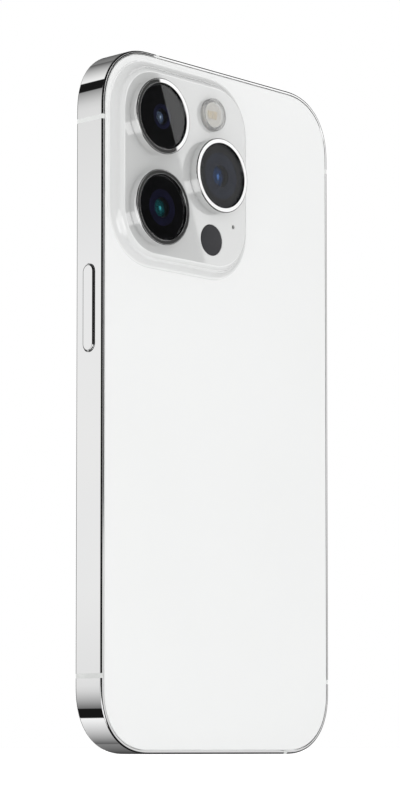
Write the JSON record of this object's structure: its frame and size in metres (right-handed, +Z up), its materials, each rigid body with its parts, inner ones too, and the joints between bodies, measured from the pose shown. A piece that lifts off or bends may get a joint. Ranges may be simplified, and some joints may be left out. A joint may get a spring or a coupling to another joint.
{
  "type": "smartphone",
  "caption": "Slim smartphone with a polished steel band, white frosted glass back, raised plateau with ringed cameras, sprung buttons, mute switch and card tray.",
  "frame": {"origin": "bottom centre of the box around the phone, where it stands on its port end", "axes": "+Z up the phone's length, +Y out of the back glass and cameras, display faces -Y, side button on +X"},
  "size_m": [0.0724, 0.012, 0.1475],
  "materials": {
    "polished_steel": "mirror-polished stainless steel",
    "tray_steel": "polished lip, satin tray",
    "break_plastic": "pale satin plastic, flush with the steel",
    "back_glass": "frosted white glass with a glossy camera plateau",
    "cover_glass": "clear glass over a black display",
    "camera_glass": "coated clear glass",
    "lens_element": "coated lens",
    "lens_barrel": "matt black moulding",
    "range_window": "dark infrared-pass glass",
    "flash_lens": "clear moulded lens",
    "flash_led": "yellow phosphor on white ceramic",
    "plate_aluminium": "fine blasted aluminium",
    "stamped_steel": "stamped sheet steel",
    "housing_metal": "black-coated metal",
    "black_plastic": "matt black plastic",
    "seal": "black adhesive foam",
    "panel": "display panel, off",
    "mesh": "fine dark woven mesh",
    "sensor": "silicon under clear resin",
    "brass_parts": "gold-plated contacts and cans",
    "screw_steel": "plain steel",
    "tungsten": "sintered heavy metal",
    "battery_wrap": "black laminated pouch",
    "board": "dark solder mask",
    "copper": "enamelled copper wire",
    "magnets": "nickel-plated magnets"
  },
  "bodies": {
    "phone_body": {"band_button_side": "polished_steel", "band_volume_side": "polished_steel", "band_camera_corner": "polished_steel", "band_far_top_corner": "polished_steel", "band_port_end": "polished_steel", "band_far_port_corner": "polished_steel", "antenna_breaks": "break_plastic", "middle_plate": "plate_aluminium", "back_glass": "back_glass", "glass_seals": "seal", "cover_glass": "cover_glass", "display_panel": "panel", "display_frame": "black_plastic", "earpiece_mesh": "mesh", "earpiece_speaker": "black_plastic", "front_camera": "housing_metal", "face_sensors": "housing_metal", "mute_switch_base": "black_plastic", "button_switches": "brass_parts", "camera_ring_upper": "polished_steel", "camera_ring_lower": "polished_steel", "camera_ring_inner": "polished_steel", "camera_glass_upper": "camera_glass", "camera_glass_lower": "camera_glass", "camera_glass_inner": "camera_glass", "camera_housing_upper": "housing_metal", "camera_housing_lower": "housing_metal", "camera_housing_inner": "housing_metal", "image_sensors": "sensor", "camera_bracket": "stamped_steel", "flash_lens": "flash_lens", "flash_led": "flash_led", "range_window": "range_window", "range_module": "housing_metal", "rear_microphone": "brass_parts", "charge_port": "stamped_steel", "port_contacts": "brass_parts", "screws": "screw_steel", "port_end_meshes": "mesh", "loudspeaker": "black_plastic", "haptic_case": "stamped_steel", "card_reader": "stamped_steel", "battery": "battery_wrap", "logic_board": "board", "board_shields": "stamped_steel", "charging_coil": "copper", "magnet_ring": "magnets"},
    "side_button": {"side_button": "polished_steel"},
    "volume_up_button": {"volume_up_button": "polished_steel"},
    "volume_down_button": {"volume_down_button": "polished_steel"},
    "mute_switch": {"mute_switch": "polished_steel"},
    "card_tray": {"card_tray": "tray_steel", "sim_card": "brass_parts"},
    "lens_upper": {"lens_barrel_upper": "lens_barrel", "lens_element_upper": "lens_element"},
    "lens_lower": {"lens_barrel_lower": "lens_barrel", "lens_element_lower": "lens_element"},
    "lens_inner": {"lens_barrel_inner": "lens_barrel", "lens_element_inner": "lens_element"},
    "haptic_mass": {"haptic_mass": "tungsten"}
  },
  "joints": [
    {"name": "side_button_press", "type": "slide", "parent": "phone_body", "child": "side_button", "axis": [-1, 0, 0], "range_m": [0, 0.00025], "stiffness_N_per_m": 4000, "springref_m": -0.0003},
    {"name": "volume_up_press", "type": "slide", "parent": "phone_body", "child": "volume_up_button", "axis": [1, 0, 0], "range_m": [0, 0.00025], "stiffness_N_per_m": 4000, "springref_m": -0.0003},
    {"name": "volume_down_press", "type": "slide", "parent": "phone_body", "child": "volume_down_button", "axis": [1, 0, 0], "range_m": [0, 0.00025], "stiffness_N_per_m": 4000, "springref_m": -0.0003},
    {"name": "mute_slide", "type": "slide", "parent": "phone_body", "child": "mute_switch", "axis": [0, 1, 0], "range_m": [0, 0.0013]},
    {"name": "card_tray_slide", "type": "slide", "parent": "phone_body", "child": "card_tray", "axis": [-1, 0, 0], "range_m": [0, 0.022]},
    {"name": "upper_lens_focus", "type": "slide", "parent": "phone_body", "child": "lens_upper", "axis": [0, 1, 0], "range_m": [0, 0.00035], "stiffness_N_per_m": 200, "springref_m": -0.0002},
    {"name": "lower_lens_focus", "type": "slide", "parent": "phone_body", "child": "lens_lower", "axis": [0, 1, 0], "range_m": [0, 0.00035], "stiffness_N_per_m": 200, "springref_m": -0.0002},
    {"name": "inner_lens_focus", "type": "slide", "parent": "phone_body", "child": "lens_inner", "axis": [0, 1, 0], "range_m": [0, 0.00035], "stiffness_N_per_m": 200, "springref_m": -0.0002},
    {"name": "haptic_swing", "type": "slide", "parent": "phone_body", "child": "haptic_mass", "axis": [1, 0, 0], "range_m": [-0.0008, 0.0008], "stiffness_N_per_m": 2200}
  ]
}
